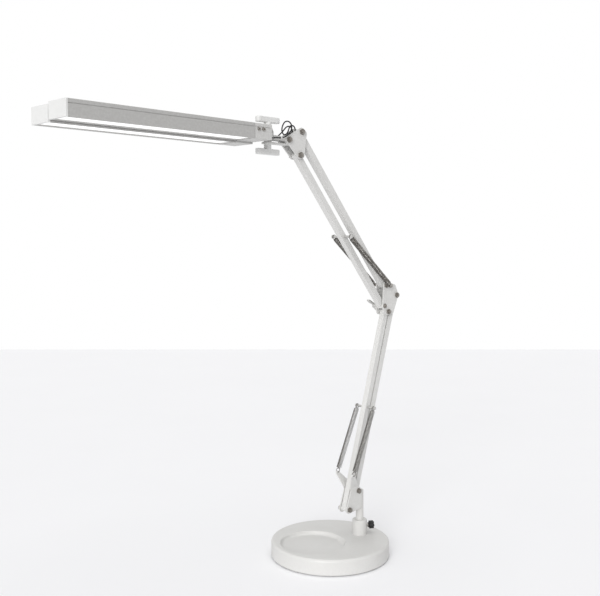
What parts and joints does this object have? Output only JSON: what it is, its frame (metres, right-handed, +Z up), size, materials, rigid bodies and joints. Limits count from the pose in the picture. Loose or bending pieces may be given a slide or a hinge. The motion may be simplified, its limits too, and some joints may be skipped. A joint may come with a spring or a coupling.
{
  "type": "swing arm desk lamp",
  "caption": "Desk lamp with a weighted round base, sprung parallelogram arms and a head of two hinged light bars.",
  "frame": {"origin": "centre of the underside of the base", "axes": "+Z up; the arm plane is parallel to X and the head reaches towards -X"},
  "size_m": [0.6683, 0.2, 0.7168],
  "materials": {
    "paint": "satin powder coat",
    "iron": "rough cast",
    "pad_rubber": "matt",
    "nylon": "matt moulded",
    "steel": "zinc plated",
    "spring_steel": "oiled spring wire",
    "black_plastic": "satin moulded",
    "white_plastic": "satin moulded",
    "bar_aluminium": "satin anodised",
    "bracket_grey": "satin",
    "link_steel": "satin",
    "diffuser": "opal",
    "led_board": "white solder resist",
    "cord": "smooth"
  },
  "bodies": {
    "base": {"base_cover": "paint", "base_weight": "iron", "base_foot_pad": "pad_rubber", "base_collar": "paint", "collar_bush": "nylon"},
    "post_thumbscrew": {"thumb_stud": "steel", "thumb_knob": "black_plastic"},
    "lower_bracket": {"swivel_post": "paint", "lower_plate_near": "paint", "lower_plate_far": "paint", "lower_bolts": "steel", "lower_nuts": "steel", "lower_sleeves": "nylon", "lower_spring_near": "spring_steel", "lower_spring_far": "spring_steel"},
    "lower_front_arm": {"lower_front_tube": "paint", "lower_cross_pin": "link_steel"},
    "lower_rear_arm": {"lower_rear_tube": "paint"},
    "elbow_bracket": {"elbow_plate_near": "paint", "elbow_plate_far": "paint", "elbow_bolts": "steel", "elbow_nuts": "steel", "elbow_anchor_bolt": "steel", "elbow_clamp_bolt": "steel", "elbow_sleeves": "nylon", "upper_spring_near": "spring_steel", "upper_spring_far": "spring_steel"},
    "elbow_clamp": {"elbow_wing_nut": "link_steel"},
    "upper_front_arm": {"upper_front_tube": "paint", "upper_cross_pin": "link_steel"},
    "upper_rear_arm": {"upper_rear_tube": "paint"},
    "top_bracket": {"top_plate_near": "paint", "top_plate_far": "paint", "top_bolts": "steel", "top_nuts": "steel", "top_sleeves": "nylon", "cord_anchor": "black_plastic"},
    "head_arm": {"head_arm": "paint", "hub_bolt": "steel", "hub_washers": "nylon", "near_lead_cord": "cord", "far_lead_cord": "cord", "near_loop_cord": "cord", "far_loop_cord": "cord"},
    "top_clamp": {"top_knob": "white_plastic"},
    "bottom_clamp": {"bottom_knob": "white_plastic"},
    "near_bar": {"near_bar_housing": "bar_aluminium", "near_bar_diffuser": "diffuser", "near_bar_led_board": "led_board", "near_bar_end_cap": "white_plastic", "near_bar_bracket": "bracket_grey", "near_bar_hinge_plate": "link_steel", "near_bar_screws": "steel"},
    "far_bar": {"far_bar_housing": "bar_aluminium", "far_bar_diffuser": "diffuser", "far_bar_led_board": "led_board", "far_bar_end_cap": "white_plastic", "far_bar_bracket": "bracket_grey", "far_bar_hinge_plate": "link_steel", "far_bar_screws": "steel"}
  },
  "joints": [
    {"name": "base_swivel", "type": "hinge", "parent": "base", "child": "lower_bracket", "pos_m": [0.0535, -0.0199, 0.053], "axis": [0, 0, 1], "continuous": true},
    {"name": "thumbscrew_turn", "type": "hinge", "parent": "base", "child": "post_thumbscrew", "pos_m": [0.0535, -0.0199, 0.0415], "axis": [0.8415, -0.5402, 0], "continuous": true},
    {"name": "lower_arm_fold", "type": "hinge", "parent": "lower_bracket", "child": "lower_front_arm", "pos_m": [0.0165, -0.0199, 0.079], "axis": [0, 1, 0], "range_deg": [-57, 5], "deforming": ["lower_spring_near", "lower_spring_far"]},
    {"name": "lower_rear_follow", "type": "hinge", "parent": "lower_bracket", "child": "lower_rear_arm", "pos_m": [0.0395, -0.0199, 0.107], "axis": [0, 1, 0], "range_deg": [-57, 5]},
    {"name": "elbow_level", "type": "hinge", "parent": "lower_front_arm", "child": "elbow_bracket", "pos_m": [0.11705, -0.0199, 0.40871], "axis": [0, 1, 0], "range_deg": [-5, 57]},
    {"name": "wing_nut_turn", "type": "hinge", "parent": "elbow_bracket", "child": "elbow_clamp", "pos_m": [0.10755, -0.0079, 0.41921], "axis": [0, 1, 0], "continuous": true},
    {"name": "upper_arm_fold", "type": "hinge", "parent": "elbow_bracket", "child": "upper_front_arm", "pos_m": [0.10755, -0.0199, 0.41921], "axis": [0, 1, 0], "range_deg": [-60, 27], "deforming": ["upper_spring_near", "upper_spring_far"]},
    {"name": "upper_rear_follow", "type": "hinge", "parent": "elbow_bracket", "child": "upper_rear_arm", "pos_m": [0.11095, -0.0199, 0.45501], "axis": [0, 1, 0], "range_deg": [-60, 27]},
    {"name": "top_level", "type": "hinge", "parent": "upper_front_arm", "child": "top_bracket", "pos_m": [-0.10151, -0.0199, 0.66398], "axis": [0, 1, 0], "range_deg": [-27, 60]},
    {"name": "head_tilt", "type": "hinge", "parent": "top_bracket", "child": "head_arm", "pos_m": [-0.12591, -0.0199, 0.68568], "axis": [0, 1, 0], "range_deg": [-40, 50], "deforming": ["near_loop_cord", "far_loop_cord"]},
    {"name": "near_bar_swing", "type": "hinge", "parent": "head_arm", "child": "near_bar", "pos_m": [-0.16241, -0.0199, 0.68568], "axis": [0, 0, 1], "range_deg": [0, 90], "deforming": ["near_lead_cord"]},
    {"name": "far_bar_swing", "type": "hinge", "parent": "head_arm", "child": "far_bar", "pos_m": [-0.16241, -0.0199, 0.68568], "axis": [0, 0, 1], "range_deg": [-90, 0], "deforming": ["far_lead_cord"]},
    {"name": "top_knob_turn", "type": "hinge", "parent": "head_arm", "child": "top_clamp", "pos_m": [-0.16241, -0.0199, 0.71368], "axis": [0, 0, 1], "continuous": true},
    {"name": "bottom_knob_turn", "type": "hinge", "parent": "head_arm", "child": "bottom_clamp", "pos_m": [-0.16241, -0.0199, 0.66568], "axis": [0, 0, 1], "continuous": true}
  ],
  "couplings": [
    {"joint": "lower_rear_follow", "follows": "lower_arm_fold", "ratio": 1},
    {"joint": "elbow_level", "follows": "lower_arm_fold", "ratio": -1},
    {"joint": "upper_rear_follow", "follows": "upper_arm_fold", "ratio": 1},
    {"joint": "top_level", "follows": "upper_arm_fold", "ratio": -1}
  ]
}
